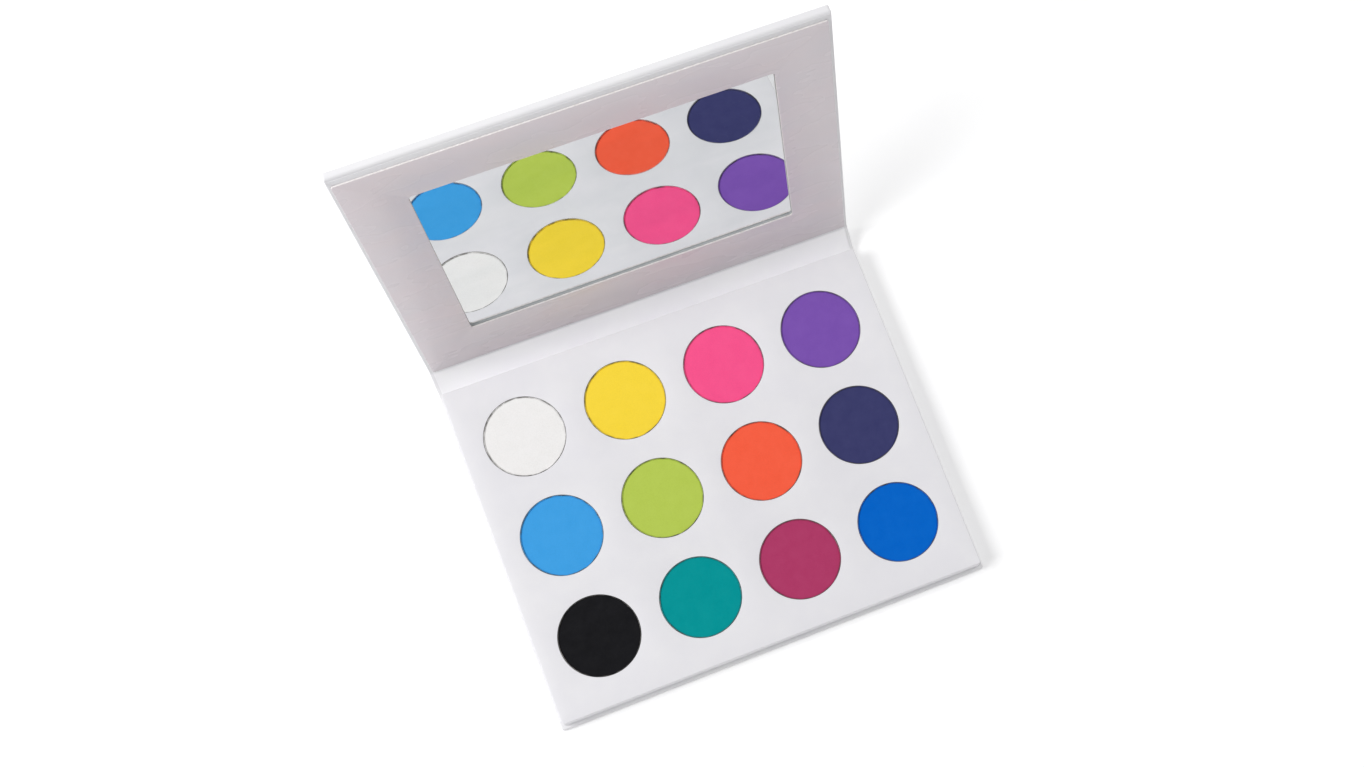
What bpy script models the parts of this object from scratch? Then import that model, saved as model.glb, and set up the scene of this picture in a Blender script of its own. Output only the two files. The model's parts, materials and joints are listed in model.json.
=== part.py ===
"""Twelve-pan eyeshadow palette: a paper-wrapped board case with a mirrored lid.

Units are metres, +Z is up and +X runs along the hinge. The origin is the middle of the
flat underside. The case is shown standing open.
"""
import bmesh
import bpy
from math import cos, pi, radians, sin
from mathutils import Matrix, Vector

MM = 0.001

# Papers and glue lines
PAPER = 0.25 * MM
GLUE_LINE = 0.10 * MM
TURN_IN = 12.0 * MM

# Bottom cover of the case
COVER_HALF_X = 72.2 * MM
COVER_FRONT = -57.95 * MM
COVER_REAR = 57.2 * MM
COVER_THICK = 2.4 * MM
CORNER = 0.8 * MM

# Tray glued on the bottom cover
TRAY_HALF_X = 71.1 * MM
TRAY_HALF_Y = 56.75 * MM
TRAY_FOOT = COVER_THICK + 0.15 * MM
TRAY_TOP = 8.8 * MM
PLATE_THICK = 1.2 * MM
SKIRT_THICK = 0.5 * MM
WALL_THICK = 2.0 * MM
RISER_TOP = 4.75 * MM

# Pans
COLUMNS = 4
ROWS = 3
PITCH_X = 33.9 * MM
PITCH_Y = 34.5 * MM
HOLE_RADIUS = 13.3 * MM
PAN_RADIUS = 13.0 * MM
PAN_WALL = 0.35 * MM
PAN_FOOT = 5.1 * MM
PAN_TOP = 8.7 * MM
POWDER_TOP = 8.4 * MM
PAD_RADIUS = 7.0 * MM
ROUND_STEPS = 24

# Closures
MAGNET_RADIUS = 2.75 * MM
MAGNET_THICK = 1.5 * MM
MAGNET_Y = -51.0 * MM

# Hinge creases
LOWER_CREASE = Vector((0.0, 58.6 * MM, 1.2 * MM))
CREASE_SPAN = 9.55 * MM
SPINE_THICK = 2.2 * MM
SPINE_END_GAP = 1.1 * MM
SPINE_LEAN = radians(49.0)
CREASE_ROLL = 0.75 * MM

# Lid
LID_LEAN = radians(12.0)
LID_HALF_X = 72.1 * MM
LID_NEAR = 1.4 * MM
LID_FAR = 117.0 * MM
LID_THICK = 3.3 * MM
LINER_THICK = 0.5 * MM
LINER_HALF_X = 71.0 * MM
LINER_FAR = 113.9 * MM
WINDOW_HALF_X = 53.8 * MM
WINDOW_NEAR = 20.0 * MM
WINDOW_FAR = 98.3 * MM
MIRROR_LAP = 2.5 * MM
MIRROR_THICK = 1.2 * MM

SHADES = (
    ("white", "F0F0EE"), ("yellow", "FED944"), ("pink", "FE5890"), ("purple", "7C54AD"),
    ("sky_blue", "44A2E2"), ("lime_green", "B4C958"), ("orange", "FE6246"), ("navy", "3D3F6A"),
    ("black", "1F1E20"), ("teal", "019496"), ("berry", "AD3E68"), ("royal_blue", "0166C6"),
)


def linear(hex_code):
    """Turn an sRGB hex colour into linear RGBA."""
    channels = [int(hex_code[i:i + 2], 16) / 255.0 for i in (0, 2, 4)]
    return [c / 12.92 if c <= 0.04045 else ((c + 0.055) / 1.055) ** 2.4 for c in channels] + [1.0]


def material(name, hex_code, roughness, metallic=0.0):
    """Get or make a plain Principled material."""
    found = bpy.data.materials.get(name)
    if found:
        return found
    made = bpy.data.materials.new(name)
    made.use_nodes = True
    shader = made.node_tree.nodes["Principled BSDF"]
    shader.inputs["Base Color"].default_value = linear(hex_code)
    shader.inputs["Roughness"].default_value = roughness
    shader.inputs["Metallic"].default_value = metallic
    return made


def place(name, bm, look, parent=None):
    """Turn a bmesh into a named object under its parent."""
    bmesh.ops.recalc_face_normals(bm, faces=bm.faces)
    mesh = bpy.data.meshes.new(name)
    bm.to_mesh(mesh)
    bm.free()
    obj = bpy.data.objects.new(name, mesh)
    bpy.context.collection.objects.link(obj)
    if look:
        mesh.materials.append(look)
    if parent:
        obj.parent = parent
    return obj


def joint_empty(name, location, tilt):
    """An empty on a crease line, whose +Y runs along the panel and +Z faces inward."""
    empty = bpy.data.objects.new(name, None)
    empty.location = location
    empty.rotation_euler = (tilt, 0.0, 0.0)
    bpy.context.collection.objects.link(empty)
    return empty


def sheet(half_x, y0, y1, z0, z1, corner=0.0, soft_top=0.0, soft_bottom=0.0):
    """A flat rectangular piece with rounded corners and softened long edges."""
    bm = bmesh.new()
    centre = Vector((0.0, (y0 + y1) / 2, (z0 + z1) / 2))
    size = Matrix.Diagonal((2 * half_x, y1 - y0, z1 - z0, 1.0))
    bmesh.ops.create_cube(bm, size=1.0, matrix=Matrix.Translation(centre) @ size)
    if corner:
        uprights = [e for e in bm.edges if abs(e.verts[0].co.z - e.verts[1].co.z) > 0.5 * (z1 - z0)]
        bmesh.ops.bevel(bm, geom=uprights, offset=corner, segments=3, profile=0.5, affect="EDGES")
    for level, radius in ((z1, soft_top), (z0, soft_bottom)):
        if radius:
            rim = [e for e in bm.edges if all(abs(v.co.z - level) < 1e-7 for v in e.verts)]
            bmesh.ops.bevel(bm, geom=rim, offset=radius, segments=2, profile=0.5, affect="EDGES")
    return bm


def turned(profile, steps=ROUND_STEPS, centre=(0.0, 0.0)):
    """Spin an (r, z) profile that starts and ends on the axis into a closed solid."""
    bm = bmesh.new()
    verts = [bm.verts.new((r, 0.0, z)) for r, z in profile]
    edges = [bm.edges.new(pair) for pair in zip(verts, verts[1:])]
    bmesh.ops.spin(bm, geom=verts + edges, cent=(0, 0, 0), axis=(0, 0, 1), angle=2 * pi,
                   steps=steps, use_merge=True)
    bmesh.ops.remove_doubles(bm, verts=bm.verts, dist=1e-6)
    bmesh.ops.translate(bm, verts=bm.verts, vec=(centre[0], centre[1], 0.0))
    return bm


def cut(target, name, bm):
    """Cut a hidden tool shape out of a piece."""
    tool = place(name, bm, None, target.parent)
    tool.hide_render = True
    tool.display_type = "WIRE"
    modifier = target.modifiers.new(name, "BOOLEAN")
    modifier.operation = "DIFFERENCE"
    modifier.solver = "EXACT"
    modifier.object = tool
    return tool


def wrapped_panel(name, half_x, y0, y1, z0, z1, look, parent, mouth_z, flap=TURN_IN):
    """A paper skin round a board, with turned-in flaps and an open middle on the +Z side."""
    skin = place(name, sheet(half_x, y0, y1, z0, z1, CORNER, 0.2 * MM, 0.45 * MM), look, parent)
    pocket = sheet(half_x - PAPER, y0 + PAPER, y1 - PAPER, z0 + PAPER, z1 - PAPER)
    cut(skin, name + "_pocket_tool", pocket)
    mouth = sheet(half_x - flap, y0 + flap, y1 - flap, z1 - 2 * PAPER, mouth_z)
    cut(skin, name + "_mouth_tool", mouth)
    return skin


def pan_centre(index):
    """Middle of a pan, counted along each row from the hinge side."""
    column, row = index % COLUMNS, index // COLUMNS
    return ((column - (COLUMNS - 1) / 2) * PITCH_X, ((ROWS - 1) / 2 - row) * PITCH_Y)


def build_bottom_cover(paper, greyboard):
    """Wrapped board under the tray."""
    wrapped_panel("base_wrap", COVER_HALF_X, COVER_FRONT, COVER_REAR, 0.0, COVER_THICK, paper,
                  None, COVER_THICK + MM)
    inset = PAPER + GLUE_LINE
    place("base_board", sheet(COVER_HALF_X - inset, COVER_FRONT + inset, COVER_REAR - inset,
                              inset, COVER_THICK - inset), greyboard)


def build_tray(paper, greyboard, foam):
    """Pan plate with its skirt, the four board walls and the riser sheet."""
    shell = place("tray_shell", sheet(TRAY_HALF_X, -TRAY_HALF_Y, TRAY_HALF_Y, TRAY_FOOT, TRAY_TOP,
                                      CORNER, 0.4 * MM), paper)
    under = TRAY_TOP - PLATE_THICK
    room_x = TRAY_HALF_X - SKIRT_THICK
    room_y = TRAY_HALF_Y - SKIRT_THICK
    cut(shell, "tray_room_tool", sheet(room_x, -room_y, room_y, TRAY_FOOT - MM, under))
    holes = bmesh.new()
    for index in range(len(SHADES)):
        x, y = pan_centre(index)
        spot = Matrix.Translation((x, y, TRAY_TOP))
        bmesh.ops.create_cone(holes, cap_ends=True, segments=ROUND_STEPS, radius1=HOLE_RADIUS,
                              radius2=HOLE_RADIUS, depth=2 * PLATE_THICK + MM, matrix=spot)
    cut(shell, "pan_holes_tool", holes)
    outer_x = room_x - GLUE_LINE
    outer_y = room_y - GLUE_LINE
    top = under - GLUE_LINE
    place("tray_wall_front", sheet(outer_x, -outer_y, -outer_y + WALL_THICK, TRAY_FOOT, top), greyboard)
    place("tray_wall_back", sheet(outer_x, outer_y - WALL_THICK, outer_y, TRAY_FOOT, top), greyboard)
    side_y = outer_y - WALL_THICK - GLUE_LINE
    for side, sign in (("left", -1.0), ("right", 1.0)):
        strip = sheet(WALL_THICK / 2, -side_y, side_y, TRAY_FOOT, top)
        bmesh.ops.translate(strip, verts=strip.verts, vec=(sign * (outer_x - WALL_THICK / 2), 0, 0))
        place("tray_wall_" + side, strip, greyboard)
    riser_x = outer_x - WALL_THICK - GLUE_LINE
    place("tray_riser", sheet(riser_x, -side_y, side_y, TRAY_FOOT, RISER_TOP), foam)


def build_pans(tin, adhesive):
    """Twelve tin pans with pressed powder, each on its adhesive pad."""
    inner = PAN_RADIUS - PAN_WALL
    floor = PAN_FOOT + PAN_WALL
    curl = 0.1 * MM
    pan_profile = ((0.0, PAN_FOOT), (PAN_RADIUS - 0.4 * MM, PAN_FOOT), (PAN_RADIUS, PAN_FOOT + 0.4 * MM),
                   (PAN_RADIUS, PAN_TOP - curl), (PAN_RADIUS - curl, PAN_TOP), (inner + curl, PAN_TOP),
                   (inner, PAN_TOP - curl), (inner, floor), (0.0, floor))
    cake = inner - GLUE_LINE
    foot = floor + 0.05 * MM
    powder_profile = ((0.0, foot), (cake, foot), (cake, POWDER_TOP - 0.12 * MM),
                      (cake - 0.35 * MM, POWDER_TOP), (0.0, POWDER_TOP))
    pad_top = PAN_FOOT - 0.05 * MM
    pad_foot = RISER_TOP + 0.05 * MM
    pad_profile = ((0.0, pad_foot), (PAD_RADIUS, pad_foot), (PAD_RADIUS, pad_top), (0.0, pad_top))
    for index, (shade, hex_code) in enumerate(SHADES):
        centre = pan_centre(index)
        pan = place("pan_" + shade, turned(pan_profile, centre=centre), tin)
        cake_obj = place("powder_" + shade, turned(powder_profile, centre=centre),
                         material("pressed powder " + shade, hex_code, 0.85))
        place("pan_pad_" + shade, turned(pad_profile, 16, centre), adhesive)
        for obj in (pan, cake_obj):
            obj.data.shade_smooth()
            obj.data.set_sharp_from_angle(angle=radians(35))


def disc(radius, z0, z1, x, y, steps=16):
    """A plain round slug."""
    return turned(((0.0, z0), (radius, z0), (radius, z1), (0.0, z1)), steps, (x, y))


def build_closures(magnet, steel, lid):
    """Magnets under the front of the pan plate and steel discs in the lid."""
    top = TRAY_TOP - PLATE_THICK - GLUE_LINE
    reach = LOWER_CREASE.y - MAGNET_Y
    layer = LID_THICK / 2 - LINER_THICK - GLUE_LINE - PAPER - GLUE_LINE
    for side, sign in (("left", -1.0), ("right", 1.0)):
        x = sign * PITCH_X
        place("magnet_" + side, disc(MAGNET_RADIUS, top - MAGNET_THICK, top, x, MAGNET_Y), magnet)
        place("lid_steel_disc_" + side, disc(MAGNET_RADIUS, layer - 0.85 * MM, layer - 0.05 * MM, x, reach),
              steel, lid)


def crease_roll(name, look, parent, facing):
    """The rolled fold of wrap paper on a crease line, a thin half tube about it."""
    bm = bmesh.new()
    inner, outer = CREASE_ROLL - PAPER, CREASE_ROLL
    angles = [facing + radians(-90 + 180 * i / 8) for i in range(9)]
    ring = [(outer, a) for a in angles] + [(inner, a) for a in reversed(angles)]
    verts = [bm.verts.new((-COVER_HALF_X, r * cos(a), r * sin(a))) for r, a in ring]
    face = bm.faces.new(verts)
    grown = bmesh.ops.extrude_face_region(bm, geom=[face])
    moved = [g for g in grown["geom"] if isinstance(g, bmesh.types.BMVert)]
    bmesh.ops.translate(bm, verts=moved, vec=(2 * COVER_HALF_X, 0, 0))
    return place(name, bm, look, parent)


def build_spine(spine, paper, liner_paper, greyboard):
    """The narrow wrapped board between the two creases."""
    near, far = SPINE_END_GAP, CREASE_SPAN - SPINE_END_GAP
    back, front = -SPINE_THICK / 2, SPINE_THICK / 2
    seat = front - PAPER - GLUE_LINE
    skin = place("spine_wrap", sheet(COVER_HALF_X, near, far, back, seat, 0.4 * MM, 0.0, 0.3 * MM),
                 paper, spine)
    cut(skin, "spine_pocket_tool", sheet(COVER_HALF_X - PAPER, near + PAPER, far - PAPER,
                                         back + PAPER, front + MM))
    inset = PAPER + GLUE_LINE
    place("spine_board", sheet(COVER_HALF_X - inset, near + inset, far - inset, back + inset, seat),
          greyboard, spine)
    place("spine_liner", sheet(LINER_HALF_X, near, far, front - PAPER, front), liner_paper, spine)
    crease_roll("crease_lower", paper, spine, -pi / 2)


def build_lid(lid, paper, liner_paper, greyboard, glass, tape):
    """Wrapped lid board with a mirror let into a filler frame behind the windowed liner."""
    inside = LID_THICK / 2
    outside = -LID_THICK / 2
    liner = place("lid_liner", sheet(LINER_HALF_X, LID_NEAR, LINER_FAR, inside - LINER_THICK, inside,
                                     CORNER), liner_paper, lid)
    cut(liner, "lid_window_tool", sheet(WINDOW_HALF_X, WINDOW_NEAR, WINDOW_FAR, inside - 2 * MM,
                                        inside + MM, 1.0 * MM))
    face = inside - LINER_THICK - GLUE_LINE
    wrapped_panel("lid_wrap", LID_HALF_X, LID_NEAR, LID_FAR, outside, face, paper, lid, face + MM)
    inset = PAPER + GLUE_LINE
    layer = face - inset
    split = outside + inset + 0.95 * MM
    half_x = LID_HALF_X - inset
    near, far = LID_NEAR + inset, LID_FAR - inset
    place("lid_board", sheet(half_x, near, far, outside + inset, split), greyboard, lid)
    mirror_x = WINDOW_HALF_X + MIRROR_LAP
    mirror_near, mirror_far = WINDOW_NEAR - MIRROR_LAP, WINDOW_FAR + MIRROR_LAP
    slack = 0.3 * MM
    filler = place("lid_filler", sheet(half_x, near, far, split + GLUE_LINE, layer), greyboard, lid)
    cut(filler, "mirror_seat_tool", sheet(mirror_x + slack, mirror_near - slack, mirror_far + slack,
                                          split - MM, layer + MM))
    reach = LOWER_CREASE.y - MAGNET_Y
    for side, sign in (("left", -1.0), ("right", 1.0)):
        cut(filler, "disc_seat_tool_" + side, disc(MAGNET_RADIUS + slack, split - MM, layer + MM,
                                                   sign * PITCH_X, reach))
    mirror_back = face - MIRROR_THICK
    place("mirror", sheet(mirror_x, mirror_near, mirror_far, mirror_back, face, 0.0), glass, lid)
    place("mirror_tape", sheet(mirror_x - 4 * MM, mirror_near + 4 * MM, mirror_far - 4 * MM,
                               split + 0.05 * MM, mirror_back - 0.05 * MM), tape, lid)
    crease_roll("crease_upper", paper, lid, -pi / 2)


def main():
    """Build the whole palette."""
    for obj in list(bpy.data.objects):
        bpy.data.objects.remove(obj, do_unlink=True)
    paper = material("satin white wrap paper", "EFEFEE", 0.5)
    liner_paper = material("satin white liner paper", "EDECEC", 0.5)
    greyboard = material("greyboard", "9B968E", 0.9)
    foam = material("white foam sheet", "E9E8E4", 0.9)
    tin = material("tinplate", "C9CACC", 0.3, 1.0)
    adhesive = material("clear adhesive pad", "E4E1D6", 0.6)
    magnet = material("nickel magnet", "B9BABD", 0.3, 1.0)
    steel = material("steel disc", "A7A9AC", 0.35, 1.0)
    glass = material("mirror glass", "F2F4F4", 0.03, 1.0)
    tape = material("double-sided tape", "DAD8D0", 0.7)
    build_bottom_cover(paper, greyboard)
    build_tray(paper, greyboard, foam)
    build_pans(tin, adhesive)
    spine = joint_empty("spine_joint", LOWER_CREASE, pi / 2 - SPINE_LEAN)
    along = Vector((0.0, sin(SPINE_LEAN), cos(SPINE_LEAN)))
    lid = joint_empty("lid_joint", LOWER_CREASE + CREASE_SPAN * along, pi / 2 - LID_LEAN)
    build_spine(spine, paper, liner_paper, greyboard)
    build_lid(lid, paper, liner_paper, greyboard, glass, tape)
    build_closures(magnet, steel, lid)


main()
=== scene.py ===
"""Looks for the open twelve-pan eyeshadow palette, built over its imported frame.

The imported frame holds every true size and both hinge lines. Each class below dresses one
sub-assembly of the palette: the wrapped covers, the hinge papers, the pan plate, the pans
with their powders, and the lid's liner and mirror. Lengths are in metres, so a value in
millimetres is written n * MM. The palette has +X along the hinge, +Y towards it and +Z up.
"""
import json
import logging
from dataclasses import dataclass, field
from enum import Enum
from math import atan2, cos, pi, radians, sin
from typing import Any, Callable, Sequence

import bmesh
import bpy
from mathutils import Matrix, Vector, noise

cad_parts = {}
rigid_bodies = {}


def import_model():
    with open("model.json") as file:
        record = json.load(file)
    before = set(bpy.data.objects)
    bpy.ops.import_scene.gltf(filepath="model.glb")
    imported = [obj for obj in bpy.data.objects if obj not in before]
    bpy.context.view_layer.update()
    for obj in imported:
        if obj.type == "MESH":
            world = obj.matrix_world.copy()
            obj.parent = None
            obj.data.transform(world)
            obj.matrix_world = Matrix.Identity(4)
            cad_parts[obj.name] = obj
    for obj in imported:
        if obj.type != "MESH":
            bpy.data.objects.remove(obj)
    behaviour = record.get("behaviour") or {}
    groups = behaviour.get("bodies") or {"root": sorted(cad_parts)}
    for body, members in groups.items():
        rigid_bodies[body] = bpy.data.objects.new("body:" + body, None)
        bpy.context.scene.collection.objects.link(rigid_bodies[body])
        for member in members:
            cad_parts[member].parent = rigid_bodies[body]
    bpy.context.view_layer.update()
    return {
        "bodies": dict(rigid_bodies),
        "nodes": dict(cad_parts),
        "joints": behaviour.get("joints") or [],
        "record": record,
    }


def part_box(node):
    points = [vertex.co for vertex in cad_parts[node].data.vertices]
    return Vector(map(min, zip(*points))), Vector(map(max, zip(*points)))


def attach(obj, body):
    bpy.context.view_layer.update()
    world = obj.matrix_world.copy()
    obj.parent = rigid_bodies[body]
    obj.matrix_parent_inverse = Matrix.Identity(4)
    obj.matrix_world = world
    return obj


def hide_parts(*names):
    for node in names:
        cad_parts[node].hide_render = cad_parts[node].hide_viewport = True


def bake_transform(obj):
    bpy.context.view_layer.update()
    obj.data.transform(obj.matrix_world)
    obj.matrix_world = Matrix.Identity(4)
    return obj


LOG = logging.getLogger("palette")
MM = 0.001
# Points nearer than this become one point
MERGE = 0.001 * MM
# The smallest radius that a round corner keeps
SHARPEST = 0.02 * MM
# Coordinates nearer than this are level with each other
LEVEL = 1e-6
Outline = list[tuple[float, float]]
Station = tuple[Vector, Vector, float]


class Shade(Enum):
    """The twelve pressed powders, along each row from the hinge side, as sRGB hex."""

    WHITE = "F7F6F5"
    YELLOW = "FDE446"
    PINK = "FD5E9C"
    PURPLE = "875BBD"
    SKY_BLUE = "47B0EE"
    LIME_GREEN = "C5D95F"
    ORANGE = "FD6A4A"
    NAVY = "414375"
    BLACK = "1B1B1E"
    TEAL = "00A3A6"
    BERRY = "BE4172"
    ROYAL_BLUE = "006FD6"

    @property
    def node(self) -> str:
        """The ending that this shade's CAD nodes share."""
        return self.name.lower()


def linear(hex_code: str) -> tuple[float, float, float, float]:
    """Turn an sRGB hex colour into linear RGBA.

    Args:
        hex_code: Six hex digits.

    Returns:
        Linear red, green, blue and an alpha of one.
    """
    channels = [int(hex_code[i:i + 2], 16) / 255.0 for i in (0, 2, 4)]
    red, green, blue = (c / 12.92 if c <= 0.04045 else ((c + 0.055) / 1.055) ** 2.4 for c in channels)
    return red, green, blue, 1.0


def add_node(tree: bpy.types.NodeTree, kind: str, inputs: dict[Any, Any] | None = None,
             **settings: Any) -> bpy.types.Node:
    """Add a shader node, set it up and link it.

    Args:
        tree: The node tree that gets it.
        kind: Blender's name for the kind of node.
        inputs: Socket name or number to a value, or to an output socket to link from.
        **settings: The node's own properties.

    Returns:
        The new node.
    """
    node = tree.nodes.new(kind)
    for key, value in settings.items():
        setattr(node, key, value)
    for key, value in (inputs or {}).items():
        if isinstance(value, bpy.types.NodeSocket):
            tree.links.new(value, node.inputs[key])
        else:
            node.inputs[key].default_value = value
    return node


class Surface:
    """A material being made: its node tree, its shader and the object's own coordinates."""

    def __init__(self, name: str, **uniform: Any) -> None:
        """Start a Principled material.

        Args:
            name: What a maker calls the finish.
            **uniform: Shader sockets, with _ for a space, and their values all over the surface.
        """
        self.material = bpy.data.materials.new(name)
        self.material.use_nodes = True
        self.tree = self.material.node_tree
        self.shader = self.tree.nodes["Principled BSDF"]
        self.place = add_node(self.tree, "ShaderNodeTexCoord").outputs["Object"]
        for socket, value in uniform.items():
            self.shader.inputs[socket.replace("_", " ")].default_value = value

    def drift(self, size: float, low: float, high: float, stretch: tuple[float, float, float] = (1, 1, 1),
              detail: float = 2.0, contrast: float = 0.22, shift: float = 0.0) -> bpy.types.NodeSocket:
        """A value that wanders over the surface.

        Args:
            size: How far apart its light and dark patches are, in metres.
            low: The value in the dark patches.
            high: The value in the light patches.
            stretch: How much longer the patches are along each axis.
            detail: How many finer octaves ride on it.
            contrast: Half the width of noise that spans low to high, smaller for harder edges.
            shift: Moves the pattern, so that two of one size differ.

        Returns:
            The value's socket.
        """
        scale = tuple(1.0 / (size * s) for s in stretch)
        spot = add_node(self.tree, "ShaderNodeMapping",
                        {"Vector": self.place, "Scale": scale, "Location": (shift, shift, shift)})
        cloud = add_node(self.tree, "ShaderNodeTexNoise",
                         {"Vector": spot.outputs[0], "Scale": 1.0, "Detail": detail})
        spread = add_node(self.tree, "ShaderNodeMapRange",
                          {"Value": cloud.outputs[0], "From Min": 0.5 - contrast,
                           "From Max": 0.5 + contrast, "To Min": low, "To Max": high})
        return spread.outputs[0]

    def specks(self, apart: float, radius: float, share: float) -> bpy.types.NodeSocket:
        """A mask of loose round specks.

        Args:
            apart: Mean spacing of the places where a speck may lie, in metres.
            radius: Radius of a speck, in metres.
            share: Share of those places that have one.

        Returns:
            A socket that is one on a speck and nought elsewhere.
        """
        cells = add_node(self.tree, "ShaderNodeTexVoronoi", {"Vector": self.place, "Scale": 1.0 / apart})
        near = add_node(self.tree, "ShaderNodeMapRange",
                        {"Value": cells.outputs["Distance"], "From Min": radius / apart,
                         "From Max": 0.6 * radius / apart, "To Min": 0.0, "To Max": 1.0})
        chosen = add_node(self.tree, "ShaderNodeMath",
                          {0: cells.outputs["Color"], 1: share}, operation="LESS_THAN")
        both = add_node(self.tree, "ShaderNodeMath",
                        {0: near.outputs[0], 1: chosen.outputs[0]}, operation="MULTIPLY")
        return both.outputs[0]

    def colour(self, *layers: tuple[Any, str]) -> bpy.types.NodeSocket:
        """Lay colours over each other.

        Args:
            *layers: Pairs of a mask and a hex colour; the first pair's mask is ignored.

        Returns:
            The socket of the final colour.
        """
        under: Any = linear(layers[0][1])
        for mask, hex_code in layers[1:]:
            mixed = add_node(self.tree, "ShaderNodeMix", {0: mask, 6: under, 7: linear(hex_code)},
                             data_type="RGBA")
            under = mixed.outputs[2]
        return under

    def link(self, socket: str, source: bpy.types.NodeSocket) -> None:
        """Drive one of the shader's sockets from another node's socket."""
        self.tree.links.new(source, self.shader.inputs[socket])

    def relief(self, *layers: tuple[bpy.types.NodeSocket, float]) -> None:
        """Raise the surface.

        Args:
            *layers: Pairs of a height from nought to one and its depth in metres.
        """
        normal: bpy.types.NodeSocket | None = None
        for height, depth in layers:
            inputs: dict[Any, Any] = {"Height": height, "Distance": depth, "Strength": 1.0}
            if normal is not None:
                inputs["Normal"] = normal
            normal = add_node(self.tree, "ShaderNodeBump", inputs).outputs[0]
        self.link("Normal", normal)

    def finish(self, colour: bpy.types.NodeSocket, roughness: bpy.types.NodeSocket,
               *relief: tuple[bpy.types.NodeSocket, float]) -> bpy.types.Material:
        """Link the surface's colour, roughness and relief.

        Args:
            colour: The final colour.
            roughness: The roughness.
            *relief: Pairs of a height from nought to one and its depth in metres.

        Returns:
            The finished material.
        """
        self.link("Base Color", colour)
        self.link("Roughness", roughness)
        if relief:
            self.relief(*relief)
        return self.material


@dataclass(frozen=True)
class CoatedPaper:
    """Clay-coated paper, calendered on the machine: white and satin, with a faint fibre under it."""

    name: str
    colour: str = "ECECED"
    cloud: str = "EAE9EC"
    scuff: str = "E7E6EA"
    roughness: float = 0.46
    fibre: float = 0.42 * MM
    tooth_depth: float = 0.008 * MM
    cockle_depth: float = 0.07 * MM
    dust: float = 0.10

    def make(self) -> bpy.types.Material:
        """Build the material.

        Returns:
            The finished material.
        """
        paper = Surface(self.name)
        # Cloudiness of the sheet, a few millimetres across, and rubs from handling
        cloud = paper.drift(5 * MM, 0.0, 0.8)
        rub = paper.drift(16 * MM, 0.0, 0.5, detail=4.0, contrast=0.12, shift=3.0)
        dust = paper.specks(9 * MM, 0.17 * MM, self.dust)
        colour = paper.colour((None, self.colour), (cloud, self.cloud), (rub, self.scuff), (dust, "8D8C93"))
        sheen = paper.drift(7 * MM, self.roughness - 0.05, self.roughness + 0.07, shift=1.0)
        # Fibre is about 0.02 mm wide; it is drawn at 0.4 mm so that the tooth of the sheet still shows
        tooth = paper.drift(self.fibre, 0.0, 1.0, detail=3.0)
        # The sheet lies over glue, so it cockles a little
        cockle = paper.drift(11 * MM, 0.0, 1.0, detail=1.0, contrast=0.5, shift=5.0)
        return paper.finish(colour, sheen, (tooth, self.tooth_depth), (cockle, self.cockle_depth))


@dataclass(frozen=True)
class LinerPaper:
    """Varnished lining paper: a little greyer, with soft streaks where varnish was drawn. Its warm pink
    tint is painted light, standing for light bounced onto it from the bright powders.
    """

    name: str = "varnished lining paper"
    # The pink in this colour is painted light bounced from the bright powders, not the paper's own tint
    colour: str = "E4D9DE"
    streak: str = "DDD8DD"
    warm: str = "E3D8DA"
    roughness: float = 0.27

    def make(self) -> bpy.types.Material:
        """Build the material.

        Returns:
            The finished material.
        """
        paper = Surface(self.name)
        # Drawn varnish leaves long soft bands along the sheet
        band = paper.drift(9 * MM, 0.0, 0.9, stretch=(2.6, 1.0, 1.0), detail=3.0, contrast=0.3)
        warm = paper.drift(22 * MM, 0.0, 0.8, detail=1.0, contrast=0.3, shift=7.0)
        dust = paper.specks(14 * MM, 0.15 * MM, 0.12)
        colour = paper.colour((None, self.colour), (warm, self.warm), (band, self.streak), (dust, "9A8F94"))
        sheen = paper.drift(8 * MM, self.roughness - 0.09, self.roughness + 0.09,
                            stretch=(2.6, 1.0, 1.0), contrast=0.5, shift=2.0)
        tooth = paper.drift(0.42 * MM, 0.0, 1.0, detail=3.0)
        wave = paper.drift(13 * MM, 0.0, 1.0, stretch=(2.5, 1.0, 1.0), detail=1.0, contrast=0.5, shift=4.0)
        return paper.finish(colour, sheen, (tooth, 0.004 * MM), (wave, 0.04 * MM))


@dataclass(frozen=True)
class CutEdge:
    """A knife-cut edge of sheet stock, where the raw core shows its fibres."""

    name: str
    core: str
    fleck: str

    def make(self) -> bpy.types.Material:
        """Build the material.

        Returns:
            The finished material.
        """
        edge = Surface(self.name)
        fibres = edge.drift(0.35 * MM, 0.0, 1.0, stretch=(3.0, 3.0, 1.0), detail=3.0)
        colour = edge.colour((None, self.core), (fibres, self.fleck))
        return edge.finish(colour, edge.drift(1 * MM, 0.78, 0.95), (fibres, 0.03 * MM))


@dataclass(frozen=True)
class Greyboard:
    """Recycled greyboard, pressed from mixed pulp: grey-brown, dull, with dark and light flecks."""

    name: str = "recycled greyboard"
    colour: str = "9B968E"
    dark: str = "7C776F"
    pale: str = "B9B4AA"

    def make(self) -> bpy.types.Material:
        """Build the material.

        Returns:
            The finished material.
        """
        board = Surface(self.name)
        pulp = board.drift(1.6 * MM, 0.0, 0.8, stretch=(1.8, 1.0, 1.0), detail=5.0)
        fleck = board.specks(2.2 * MM, 0.3 * MM, 0.3)
        colour = board.colour((None, self.colour), (pulp, self.dark), (fleck, self.pale))
        return board.finish(colour, board.drift(3 * MM, 0.85, 0.98), (pulp, 0.05 * MM))


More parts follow.
